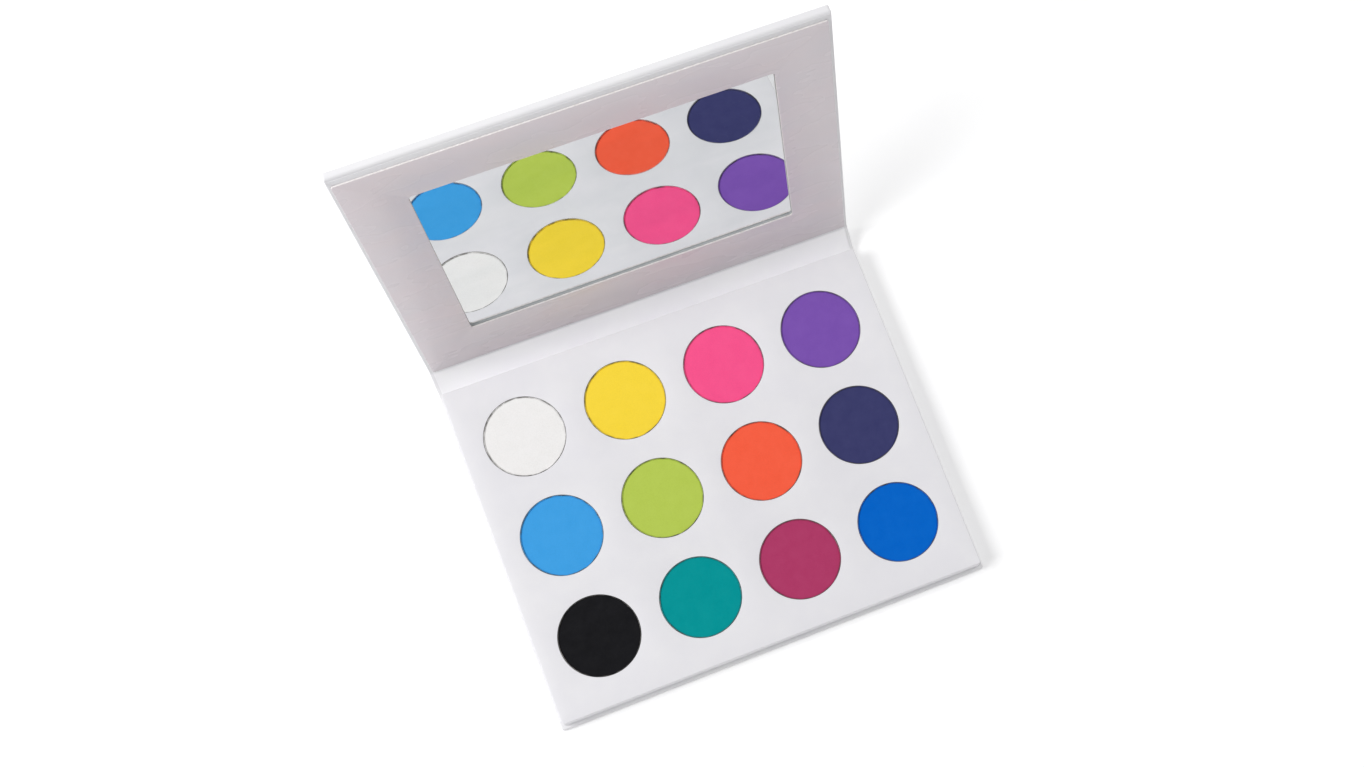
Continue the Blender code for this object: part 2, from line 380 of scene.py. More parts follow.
@dataclass(frozen=True)
class FoamSheet:
    """Closed-cell foam sheet, cast and skived: off-white with fine round cells."""

    name: str = "skived foam sheet"

    def make(self) -> bpy.types.Material:
        """Build the material.

        Returns:
            The finished material.
        """
        foam = Surface(self.name)
        cells = add_node(foam.tree, "ShaderNodeTexVoronoi",
                         {"Vector": foam.place, "Scale": 1.0 / (0.5 * MM)}).outputs["Distance"]
        colour = foam.colour((None, "EFEEE9"), (cells, "D9D7CF"))
        return foam.finish(colour, foam.drift(2 * MM, 0.85, 0.97), (cells, 0.06 * MM))


@dataclass(frozen=True)
class AdhesiveFilm:
    """Double-sided adhesive film, die-cut: cream, slightly glossy, with pressed-in air marks."""

    name: str = "double-sided adhesive film"

    def make(self) -> bpy.types.Material:
        """Build the material.

        Returns:
            The finished material.
        """
        film = Surface(self.name)
        air = film.drift(1.5 * MM, 0.0, 1.0, detail=3.0, contrast=0.1)
        colour = film.colour((None, "E4E1D6"), (air, "D2CDBE"))
        return film.finish(colour, film.drift(1.5 * MM, 0.3, 0.6, shift=2.0), (air, 0.02 * MM))


@dataclass(frozen=True)
class PlatedMetal:
    """Bright plated metal, barrel finished: grey with a soft orange-peel sheen."""

    name: str
    colour: str
    tarnish: str
    roughness: float

    def make(self) -> bpy.types.Material:
        """Build the material.

        Returns:
            The finished material.
        """
        metal = Surface(self.name, Metallic=1.0)
        wear = metal.drift(1.8 * MM, 0.0, 0.7, detail=4.0)
        sheen = metal.drift(1.2 * MM, self.roughness - 0.06, self.roughness + 0.12, shift=1.0)
        peel = metal.drift(0.4 * MM, 0.0, 1.0, shift=6.0)
        colour = metal.colour((None, self.colour), (wear, self.tarnish))
        return metal.finish(colour, sheen, (peel, 0.004 * MM))


@dataclass(frozen=True)
class DustedTin:
    """Drawn tinplate pan: bright grey and fine-grained, its lip tinted by loose powder."""

    shade: Shade
    colour: str = "8F8C88"
    dull: str = "6A6763"

    def make(self) -> bpy.types.Material:
        """Build the material.

        Returns:
            The finished material.
        """
        tin = Surface("drawn tinplate dusted " + self.shade.node)
        wear = tin.drift(1.2 * MM, 0.0, 1.0, detail=3.0)
        # Loose powder clings to the lip in patches, so the metal turns matt and coloured there
        dust = tin.drift(2.6 * MM, 0.1, 1.1, detail=4.0, contrast=0.16, shift=4.0)
        held = add_node(tin.tree, "ShaderNodeClamp", {"Value": dust}).outputs[0]
        colour = tin.colour((None, self.colour), (wear, self.dull), (held, self.shade.value))
        bare = add_node(tin.tree, "ShaderNodeMath", {0: 1.0, 1: held}, operation="SUBTRACT").outputs[0]
        tin.link("Metallic", bare)
        drawn = tin.drift(0.3 * MM, 0.0, 1.0, stretch=(1, 1, 4), shift=5.0)
        return tin.finish(colour, tin.drift(0.8 * MM, 0.28, 0.5, shift=2.0), (drawn, 0.006 * MM))


@dataclass(frozen=True)
class PressedPowder:
    """Pigment pressed dry into the pan: flat matt colour, with the grain of the press on it."""

    shade: Shade
    grain: float = 0.34 * MM
    darker: float = 0.94
    lighter: float = 0.05

    def make(self) -> bpy.types.Material:
        """Build the material.

        Returns:
            The finished material.
        """
        base = [int(self.shade.value[i:i + 2], 16) for i in (0, 2, 4)]
        deep = "".join("%02X" % round(c * self.darker) for c in base)
        pale = "".join("%02X" % round(c + (255 - c) * self.lighter) for c in base)
        cake = Surface("pressed powder " + self.shade.node, Specular_IOR_Level=0.08, Diffuse_Roughness=0.8)
        # Grains are about 0.02 mm; drawn at a third of a millimetre so that the matt tooth shows
        grain = cake.drift(self.grain, 0.0, 0.55, detail=3.0)
        bloom = cake.drift(3.5 * MM, 0.0, 0.5, detail=4.0, shift=2.0)
        stray = cake.specks(2.4 * MM, 0.13 * MM, 0.10)
        colour = cake.colour((None, self.shade.value), (grain, deep), (bloom, pale), (stray, pale))
        # The press cloth leaves a shallow unevenness over the grain
        press = cake.drift(2.2 * MM, 0.0, 1.0, detail=2.0, shift=6.0)
        return cake.finish(colour, cake.drift(1 * MM, 0.84, 0.98), (grain, 0.03 * MM), (press, 0.012 * MM))


@dataclass(frozen=True)
class MirrorSilver:
    """Silvering behind float glass: a clean reflection, a little soft where fingers smeared it."""

    name: str = "silvered float glass"

    def make(self) -> bpy.types.Material:
        """Build the material.

        Returns:
            The finished material.
        """
        silver = Surface(self.name, Metallic=1.0)
        # One pattern dulls both colour and reflection, because both come from the same smears
        smears: dict[str, Any] = {"stretch": (2.0, 1.0, 1.0), "detail": 4.0, "contrast": 0.1}
        haze = silver.drift(12 * MM, 0.0, 1.0, **smears)
        blur = silver.drift(12 * MM, 0.004, 0.022, **smears)
        return silver.finish(silver.colour((None, "F2F4F4"), (haze, "EDF0F0")), blur)


@dataclass(frozen=True)
class BackingPaint:
    """Grey lacquer, curtain coated on the mirror's back: flat and pale where it shows at the edge."""

    name: str = "mirror backing lacquer"

    def make(self) -> bpy.types.Material:
        """Build the material.

        Returns:
            The finished material.
        """
        paint = Surface(self.name)
        drag = paint.drift(0.8 * MM, 0.0, 1.0, stretch=(5.0, 1.0, 1.0), detail=2.0)
        colour = paint.colour((None, "B6B9BB"), (drag, "A5A8AB"))
        return paint.finish(colour, paint.drift(2 * MM, 0.45, 0.6), (drag, 0.01 * MM))


@dataclass(frozen=True)
class StudioFloor:
    """Matt white acrylic table: pale and even, with a barely visible cast texture. It glows faintly, which
    is painted light: the glow washes the palette's shadows off it and throws a little light back onto the
    palette.
    """

    name: str = "matt white acrylic table"
    colour: str = "FBFBFB"

    def make(self) -> bpy.types.Material:
        """Build the material.

        Returns:
            The finished material.
        """
        # The emission is painted light: the table glows so that the palette's shadows on it fade out
        floor = Surface(self.name, Specular_IOR_Level=0.2, Emission_Color=(1, 1, 1, 1),
                        Emission_Strength=0.2)
        cast = floor.drift(50 * MM, 0.0, 1.0)
        return floor.finish(floor.colour((None, self.colour), (cast, "F8F8F9")),
                            floor.drift(20 * MM, 0.6, 0.75))


class Finishes:
    """Every finish of the palette, made once."""

    def __init__(self) -> None:
        """Make the materials."""
        self.wrap = CoatedPaper("coated wrap paper").make()
        self.plate = CoatedPaper("coated plate paper", "EAE9EC", "E7E6EA", "E5E4E9", dust=0.2).make()
        self.lining = CoatedPaper("coated hinge lining", "F9F9FA", "F7F6F9", "F4F3F7", dust=0.0).make()
        self.liner = LinerPaper().make()
        self.white_edge = CutEdge("cut edge of white paper board", "F2EFEE", "DAD5D3").make()
        self.grey_edge = CutEdge("cut edge of greyboard", "8B857D", "6B665F").make()
        self.greyboard = Greyboard().make()
        self.foam = FoamSheet().make()
        self.adhesive = AdhesiveFilm().make()
        self.magnet = PlatedMetal("nickel-plated magnet", "B9BABD", "9A9B9E", 0.26).make()
        self.steel = PlatedMetal("blanked steel disc", "A7A9AC", "85878A", 0.36).make()
        self.silver = MirrorSilver().make()
        self.lacquer = BackingPaint().make()
        self.tin = {shade: DustedTin(shade).make() for shade in Shade}
        self.powder = {shade: PressedPowder(shade).make() for shade in Shade}

    def by_node(self) -> dict[str, bpy.types.Material]:
        """List what the CAD solids are made of.

        Returns:
            Start of a CAD node's name to the finish that its solid carries.
        """
        solids = {"base_board": self.greyboard, "tray_wall": self.greyboard, "spine_board": self.greyboard,
                  "lid_board": self.greyboard, "lid_filler": self.greyboard, "tray_riser": self.foam,
                  "magnet": self.magnet, "lid_steel_disc": self.steel, "pan_pad": self.adhesive,
                  "mirror_tape": self.adhesive, "base_wrap": self.wrap, "spine_wrap": self.wrap,
                  "lid_wrap": self.wrap, "crease": self.wrap, "tray_shell": self.plate,
                  "spine_liner": self.lining, "lid_liner": self.liner, "mirror": self.silver}
        for shade in Shade:
            solids["pan_" + shade.node] = self.tin[shade]
            solids["powder_" + shade.node] = self.powder[shade]
        return solids


def piece(name: str, bm: bmesh.types.BMesh, finishes: Sequence[bpy.types.Material],
          nodes: Sequence[str], axes: Matrix | None = None, crisp: float = 38.0) -> bpy.types.Object:
    """Turn a bmesh into a shown piece that stands for CAD nodes.

    Args:
        name: The piece's name.
        bm: Its mesh, which is freed.
        finishes: Its materials, by face index.
        nodes: CAD nodes that it stands for.
        axes: Where the mesh's own axes lie in the palette.
        crisp: Edges that turn more than this many degrees stay sharp.

    Returns:
        The object, with its mesh along the palette's axes.
    """
    if axes is not None:
        bm.transform(axes)
    mesh = bpy.data.meshes.new(name)
    bm.to_mesh(mesh)
    bm.free()
    for finish in finishes:
        mesh.materials.append(finish)
    mesh.shade_smooth()
    mesh.set_sharp_from_angle(angle=radians(crisp))
    obj = bpy.data.objects.new(name, mesh)
    bpy.context.scene.collection.objects.link(obj)
    if nodes:
        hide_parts(*nodes)
    LOG.info("%s: %d faces", name, len(mesh.polygons))
    return obj


def thicken(bm: bmesh.types.BMesh, thickness: float) -> None:
    """Give an open skin its paper thickness on the side away from its normals.

    Args:
        bm: The skin.
        thickness: How thick it becomes.
    """
    bm.normal_update()
    bmesh.ops.solidify(bm, geom=bm.faces[:], thickness=thickness)
    bmesh.ops.recalc_face_normals(bm, faces=bm.faces[:])


def quarter_turn(steps: int) -> list[float]:
    """Angles of a quarter turn in even steps, both ends with them."""
    return [pi / 2 * i / steps for i in range(steps + 1)]


def rounded_loop(half_x: float, y0: float, y1: float, corner: float, steps: int = 6) -> Outline:
    """A rectangle with round corners, anticlockwise from the corner at +X and y1.

    Args:
        half_x: Half its width.
        y0: Its near side.
        y1: Its far side.
        corner: Corner radius.
        steps: Flats on each corner.

    Returns:
        The outline's points.
    """
    radius = max(corner, SHARPEST)
    centres = ((half_x - radius, y1 - radius), (-half_x + radius, y1 - radius),
               (-half_x + radius, y0 + radius), (half_x - radius, y0 + radius))
    points: Outline = []
    for quarter, (cx, cy) in enumerate(centres):
        for step in range(steps + 1):
            angle = pi / 2 * (quarter + step / steps)
            points.append((cx + radius * cos(angle), cy + radius * sin(angle)))
    return points


def loft(bm: bmesh.types.BMesh, rows: Sequence[Sequence[bmesh.types.BMVert]], ring: bool = False,
         looks: Callable[[int], int] = lambda band: 0) -> None:
    """Skin rows of vertices of equal length, one after another.

    Args:
        bm: The mesh that gets the faces.
        rows: The rows.
        ring: Whether each row runs round to its start.
        looks: Band number to material number.
    """
    for band, (near, far) in enumerate(zip(rows, rows[1:])):
        if ring:
            near, far = [*near, near[0]], [*far, far[0]]
        for square in zip(near, near[1:], far[1:], far):
            bm.faces.new(square).material_index = looks(band)


def stack_loops(bm: bmesh.types.BMesh, loops: Sequence[tuple[Outline, float]], closed: bool = False,
                looks: Callable[[int], int] = lambda band: 0) -> list[list[bmesh.types.BMVert]]:
    """Skin a stack of outlines of equal length.

    Args:
        bm: The mesh that gets the faces.
        loops: Pairs of an outline and its height.
        closed: Whether the last outline is joined to the first.
        looks: Band number to material number.

    Returns:
        The vertices of each outline.
    """
    rings = [[bm.verts.new((x, y, z)) for x, y in outline] for outline, z in loops]
    loft(bm, rings + rings[:1] if closed else rings, True, looks)
    return rings


def turned(profile: Outline, centre: Vector, steps: int) -> bmesh.types.BMesh:
    """Turn an (r, z) profile, on the axis at both ends, about an upright axis.

    Args:
        profile: The section, from the axis out and back.
        centre: A point on the axis.
        steps: Flats round it.

    Returns:
        The closed solid.
    """
    bm = bmesh.new()
    verts = [bm.verts.new((r, 0.0, z)) for r, z in profile]
    edges = [bm.edges.new(pair) for pair in zip(verts, verts[1:])]
    bmesh.ops.spin(bm, geom=verts + edges, cent=(0, 0, 0), axis=(0, 0, 1), angle=2 * pi, steps=steps,
                   use_merge=True)
    bmesh.ops.remove_doubles(bm, verts=bm.verts[:], dist=MERGE)
    bmesh.ops.translate(bm, verts=bm.verts[:], vec=(centre.x, centre.y, 0.0))
    bmesh.ops.recalc_face_normals(bm, faces=bm.faces[:])
    return bm


@dataclass
class CaseAxes:
    """Where the boards of the case lie: each board's own +Y runs along it, +Z points inward."""

    frame: dict[str, Any]
    lower: Vector = field(init=False)
    upper: Vector = field(init=False)
    spine_tilt: float = field(init=False)
    lid_tilt: float = field(init=False)

    def __post_init__(self) -> None:
        """Work the boards' tilts out from the hinge lines and their ranges to shut."""
        joints = {joint["name"]: joint for joint in self.frame["joints"]}
        self.lower = Vector(joints["spine_hinge"]["pos_m"])
        self.upper = Vector(joints["lid_hinge"]["pos_m"])
        rise = self.upper - self.lower
        self.spine_tilt = atan2(rise.z, rise.y)
        to_shut = joints["spine_hinge"]["range_deg"][1] + joints["lid_hinge"]["range_deg"][1]
        self.lid_tilt = pi - radians(to_shut)

    @property
    def base(self) -> Matrix:
        """The bottom cover's axes, from the lower crease."""
        return Matrix.Translation(self.lower)

    @property
    def spine(self) -> Matrix:
        """The spine's axes, from the lower crease."""
        return Matrix.Translation(self.lower) @ Matrix.Rotation(self.spine_tilt, 4, "X")

    @property
    def lid(self) -> Matrix:
        """The lid's axes, from the upper crease."""
        return Matrix.Translation(self.upper) @ Matrix.Rotation(self.lid_tilt, 4, "X")

    def box(self, node: str, axes: Matrix) -> tuple[Vector, Vector]:
        """Measure a CAD node along a board's own axes.

        Args:
            node: The node's name.
            axes: The board's axes.

        Returns:
            Its lowest and its highest corner.
        """
        inverse = axes.inverted()
        points = [inverse @ v.co for v in self.frame["nodes"][node].data.vertices]
        low = Vector([min(p[i] for p in points) for i in range(3)])
        high = Vector([max(p[i] for p in points) for i in range(3)])
        return low, high


@dataclass
class SubAssembly:
    """A part of the palette that is built on its own, over the case's axes and in its finishes."""

    case: CaseAxes
    finishes: Finishes


@dataclass
class WrappedBoard(SubAssembly):
    """A cover board in its wrap paper, turned in over three sides and running on at the hinge end."""

    name: str
    node: str
    body: str
    axes: Matrix
    free_end_first: bool
    end_ease: float
    side_ease: float = 0.4 * MM
    outer_ease: float = 0.45 * MM
    corner: float = 0.8 * MM
    corner_steps: int = 8
    ease_steps: int = 6
    turn_in: float = 12 * MM
    paper: float = 0.25 * MM
    flap_lift: float = 0.09 * MM
    flap_inset: float = 0.35 * MM
    flap_ease: float = 0.05 * MM

    def outline(self, half_x: float, free: float, hinge: float, side: float, end: float) -> list[Vector]:
        """Plan of the skin at one level, from one hinge corner round the free end to the other.

        Args:
            half_x: Half the board's width.
            free: Where the free end lies along the board.
            hinge: Where the hinge end lies.
            side: How far this level is in from the sides.
            end: How far it is in from the free end.

        Returns:
            Points whose z holds how much they belong to the free end, from nought to one.
        """
        toward = 1.0 if hinge > free else -1.0
        radius = max(self.corner - max(side, end), SHARPEST)
        x, y = half_x - side - radius, free + toward * (end + radius)
        points = [Vector((half_x - side, hinge, 0.0))]
        for step in range(self.corner_steps + 1):
            share = step / self.corner_steps
            turn = pi / 2 * share
            points.append(Vector((x + radius * cos(turn), y - toward * radius * sin(turn), share)))
        return points + [Vector((-p.x, p.y, p.z)) for p in reversed(points)]

    def level(self, half_x: float, free: float, hinge: float, quarter: float, eases: tuple[float, float],
              face: float, outward: float) -> list[Vector]:
        """One loop round an eased rim.

        Args:
            half_x: Half the board's width.
            free: Where the free end lies.
            hinge: Where the hinge end lies.
            quarter: Angle round the easing: nought on the face, a right angle on the side.
            eases: Easing at the sides and at the free end.
            face: Height of the face.
            outward: Which way the face looks, up or down.

        Returns:
            The loop's points.
        """
        inset = [ease * (1 - sin(quarter)) for ease in eases]
        loop = self.outline(half_x, free, hinge, inset[0], inset[1])
        for point in loop:
            ease = eases[0] + (eases[1] - eases[0]) * point.z
            point.z = face - outward * ease * (1 - cos(quarter))
        return loop

    def build(self) -> None:
        """Make the paper skin and the flap turned in over its free end."""
        low, high = self.case.box(self.node, self.axes)
        free, hinge = (low.y, high.y) if self.free_end_first else (high.y, low.y)
        size = (high.x, free, hinge)
        quarters = quarter_turn(self.ease_steps)
        inner_eases = (self.side_ease, self.end_ease)
        outer_eases = (self.outer_ease, self.outer_ease)
        loops = [self.level(*size, q, outer_eases, low.z, -1.0) for q in quarters]
        loops += [self.level(*size, q, inner_eases, high.z, 1.0) for q in reversed(quarters)]
        loops.append([Vector((p.x, p.y, high.z)) for p in self.outline(*size, self.turn_in, self.turn_in)])
        bm = bmesh.new()
        rows = [[bm.verts.new(point) for point in loop] for loop in loops]
        bm.faces.new(rows[0])
        loft(bm, rows)
        bm.normal_update()
        # The skin's normals point away from the board, so that the paper thickens towards it
        back = max(bm.faces, key=lambda face: face.calc_area())
        bmesh.ops.recalc_face_normals(bm, faces=bm.faces[:])
        if back.normal.z > 0:
            bmesh.ops.reverse_faces(bm, faces=bm.faces[:])
        thicken(bm, self.paper)
        skin = piece(self.name, bm, [self.finishes.wrap], [self.node], self.axes)
        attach(skin, self.body)
        self.end_flap(size, high.z)

    def end_flap(self, size: tuple[float, float, float], face: float) -> None:
        """Make the flap that is folded in last, over the side flaps, with mitred ends.

        Args:
            size: Half the board's width, and where its free end and its hinge end lie.
            face: Height of the board's inner face.
        """
        half_x, free, hinge = size
        toward = 1.0 if hinge > free else -1.0
        fold_x, fold_y = half_x - self.flap_inset, free + toward * self.end_ease
        plan = [(fold_x, fold_y), (fold_x - self.turn_in, free + toward * (self.end_ease + self.turn_in))]
        plan += [(-x, y) for x, y in reversed(plan)]
        bm = bmesh.new()
        stack_loops(bm, [(plan, face - self.flap_lift), (plan, face + self.flap_lift)])
        bmesh.ops.holes_fill(bm, edges=bm.edges[:], sides=4)
        bmesh.ops.recalc_face_normals(bm, faces=bm.faces[:])
        rim = [e for e in bm.edges if all(v.co.z > face for v in e.verts)]
        bmesh.ops.bevel(bm, geom=rim, offset=self.flap_ease, segments=2, profile=0.5, affect="EDGES")
        name = self.name.replace("wrap_paper", "end_flap")
        flap = piece(name, bm, [self.finishes.wrap], [], self.axes)
        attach(flap, self.body)


@dataclass
class HingePapers(SubAssembly):
    """The papers of the two creases and the spine between them.

    The wrap runs on from the bottom cover round the spine to the lid, with its ends turned in. The
    lining bridges the creases on the inside: it starts under the tray's back edge, dips into the
    joint groove, lies flat on the spine and turns up to the lid's liner.
    """

    ease: float = 0.45 * MM
    ease_steps: int = 6
    turn_in: float = 12 * MM
    paper: float = 0.25 * MM
    glue: float = 0.02 * MM
    lining: float = 0.16 * MM
    groove: float = 0.5 * MM
    lining_inset: float = 1.2 * MM
    behind_tray: float = 0.25 * MM
    below_lid: float = 0.05 * MM
    bend_steps: int = 16

    def outline(self, half_x: float, height: float) -> Outline:
        """Section of the wrap across a crease: turn-in, eased end, outside, eased end, turn-in.

        Args:
            half_x: Half its width.
            height: How far its inside lies over its outside.

        Returns:
            The section's points.
        """
        points: Outline = [(-half_x + self.turn_in, height)]
        quarter = quarter_turn(self.ease_steps)
        points += [(-half_x + self.ease * (1 - sin(a)), height - self.ease * (1 - cos(a))) for a in quarter]
        points += [(-half_x + self.ease * (1 - cos(a)), self.ease * (1 - sin(a))) for a in quarter]
        return points + [(-x, z) for x, z in reversed(points)]

    def skin(self, name: str, stations: Sequence[Station], nodes: Sequence[str]) -> bpy.types.Object:
        """Loft the wrap's section along stations.

        Args:
            name: The piece's name.
            stations: Outside point, inside point and half width, one after another.
            nodes: CAD nodes that it stands for.

        Returns:
            The paper skin, on no body yet.
        """
        bm = bmesh.new()
        rows = []
        for outside, inside, half_x in stations:
            up = (inside - outside).normalized()
            section = self.outline(half_x, (inside - outside).length)
            rows.append([bm.verts.new(outside + Vector((x, 0, 0)) + up * z) for x, z in section])
        loft(bm, rows)
        bm.normal_update()
        widest = max(bm.faces, key=lambda face: face.calc_area())
        if widest.normal.dot(stations[0][0] - stations[0][1]) < 0:
            bmesh.ops.reverse_faces(bm, faces=bm.faces[:])
        thicken(bm, self.paper)
        return piece(name, bm, [self.finishes.wrap], nodes)

    def crease_stations(self, axis: Vector, start: Station, end: Station, tilts: tuple[float, float],
                        inner: Sequence[Vector]) -> list[Station]:
        """Stations round a crease line, from one board's end to the next board's.

        Args:
            axis: The crease line's point.
            start: The first board's end.
            end: The second board's end.
            tilts: The two boards' tilts.
            inner: The inner face's points.

        Returns:
            The stations, both ends with them.
        """
        headings = [Vector((0, cos(t), sin(t))) for t in tilts]
        first = (start[0] - axis) - headings[0] * (start[0] - axis).dot(headings[0])
        last = (end[0] - axis) - headings[1] * (end[0] - axis).dot(headings[1])
        outer = [start[0]]
        count = len(inner) - 1
        for i in range(count - 1):
            share = i / (count - 2)
            radius = first.length + (last.length - first.length) * share
            angle = tilts[0] + (tilts[1] - tilts[0]) * share - pi / 2
            outer.append(axis + Vector((0, cos(angle), sin(angle))) * radius)
        outer.append(end[0])
        return [(outside, inner[i], start[2] + (end[2] - start[2]) * i / count)
                for i, outside in enumerate(outer)]

    def build(self) -> None:
        """Make the spine's wrap, both crease papers and the lining."""
        case = self.case
        base_low, base_high = case.box("base_wrap", case.base)
        low, high = case.box("spine_wrap", case.spine)
        lid_low, lid_high = case.box("lid_wrap", case.lid)
        board = case.box("spine_board", case.spine)[1].z
        seat = board + self.paper + self.glue
        base_end = (case.base @ Vector((0, base_high.y, base_low.z)),
                    case.base @ Vector((0, base_high.y, base_high.z)), base_high.x)
        spine_start, spine_end = ((case.spine @ Vector((0, y, low.z)), case.spine @ Vector((0, y, seat)),
                                   high.x) for y in (low.y, high.y))
        lid_start = (case.lid @ Vector((0, lid_low.y, lid_low.z)),
                     case.lid @ Vector((0, lid_low.y, lid_high.z)), lid_high.x)
        tilts = (0.0, case.spine_tilt, case.lid_tilt)
        flat, spine_way, lid_way = (Vector((0, cos(t), sin(t))) for t in tilts)
        dip = (base_end[1] + spine_start[1]) / 2 - Vector((0, 0, 1)) * self.groove
        lower_inner = curve((base_end[1], dip, spine_start[1]), (flat, spine_way, spine_way),
                            self.bend_steps)
        upper_inner = curve((spine_end[1], lid_start[1]), (spine_way, lid_way), 2 * self.bend_steps)
        spine = self.skin("spine_wrap_paper", [spine_start, spine_end], ["spine_wrap"])
        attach(spine, "spine")
        zones = (zone(case.lower, base_end[1], spine_start[1], case.spine_tilt / 2),
                 zone(case.upper, spine_end[1], lid_start[1], (case.spine_tilt + case.lid_tilt) / 2))
        creases = (("lower_crease_paper", "crease_lower", case.lower, base_end, spine_start, lower_inner),
                   ("upper_crease_paper", "crease_upper", case.upper, spine_end, lid_start, upper_inner))
        bodies = (("base", "spine"), ("spine", "lid"))
        for i, (name, node, axis, start, end, inner) in enumerate(creases):
            stations = self.crease_stations(axis, start, end, tilts[i:i + 2], inner)
            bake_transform(self.skin(name, stations, [node]))
        foot = Vector((0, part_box("tray_shell")[1].y + self.behind_tray, base_end[1].z))
        middle = (spine_start[1] + spine_end[1]) / 2
        lid_edge = lid_start[1] - lid_way * self.below_lid
        half_x = high.x - self.lining_inset
        self.strip("lower_hinge_lining", [foot, *lower_inner, middle], ["spine_liner"], bodies[0],
                   zones[0], half_x)
        self.strip("upper_hinge_lining", [middle, *upper_inner[:-1], lid_edge], [], bodies[1],
                   zones[1], half_x)

    def strip(self, name: str, path: Sequence[Vector], nodes: Sequence[str], bodies: tuple[str, str],
              bend: tuple[Vector, Vector], half_x: float) -> None:
        """Make one half of the lining along a path.

        Args:
            name: The piece's name.
            path: Points of the papers' inner face that it lies on.
            nodes: CAD nodes that it stands for.
            bodies: The two bodies on either side of it; not used.
            bend: Where its bend starts and stops; not used.
            half_x: Half its width.
        """
        bm = bmesh.new()
        rows = []
        for i, point in enumerate(path):
            run = (path[min(i + 1, len(path) - 1)] - path[max(i - 1, 0)]).normalized()
            inward = Vector((0, -run.z, run.y))
            under, top = point + inward * self.glue, point + inward * (self.glue + self.lining)
            section = ((under, -half_x), (top, -half_x), (top, half_x), (under, half_x))
            rows.append([bm.verts.new(p + Vector((x, 0, 0))) for p, x in section])
        loft(bm, rows, True)
        bm.faces.new(rows[0])
        bm.faces.new(reversed(rows[-1]))
        bmesh.ops.recalc_face_normals(bm, faces=bm.faces[:])
        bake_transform(piece(name, bm, [self.finishes.lining], nodes))


def zone(axis: Vector, near: Vector, far: Vector, heading: float) -> tuple[Vector, Vector]:
    """Where a crease starts and stops bending, measured along the middle of its bend."""
    along = Vector((0, cos(heading), sin(heading)))
    return axis + along * (near - axis).dot(along), axis + along * (far - axis).dot(along)


def curve(places: Sequence[Vector], ways: Sequence[Vector], steps: int) -> list[Vector]:
    """A soft curve through places.

    Args:
        places: The places, in order.
        ways: Unit heading at each of them.
        steps: Steps between one place and the next.

    Returns:
        The points, both ends with them.
    """
    points = [places[0]]
    for near, far, leaving, arriving in zip(places, places[1:], ways, ways[1:]):
        points += [hermite(near, far, leaving, arriving, i / steps) for i in range(1, steps + 1)]
    return points


def hermite(near: Vector, far: Vector, leaving: Vector, arriving: Vector, share: float) -> Vector:
    """A point on the soft curve between two places.

    Args:
        near: Where it starts.
        far: Where it ends.
        leaving: Unit heading at the start.
        arriving: Unit heading at the end.
        share: How far along, from nought to one.

    Returns:
        The point.
    """
    reach = (far - near).length
    s2, s3 = share * share, share ** 3
    return ((2 * s3 - 3 * s2 + 1) * near + (s3 - 2 * s2 + share) * reach * leaving
            + (-2 * s3 + 3 * s2) * far + (s3 - s2) * reach * arriving)


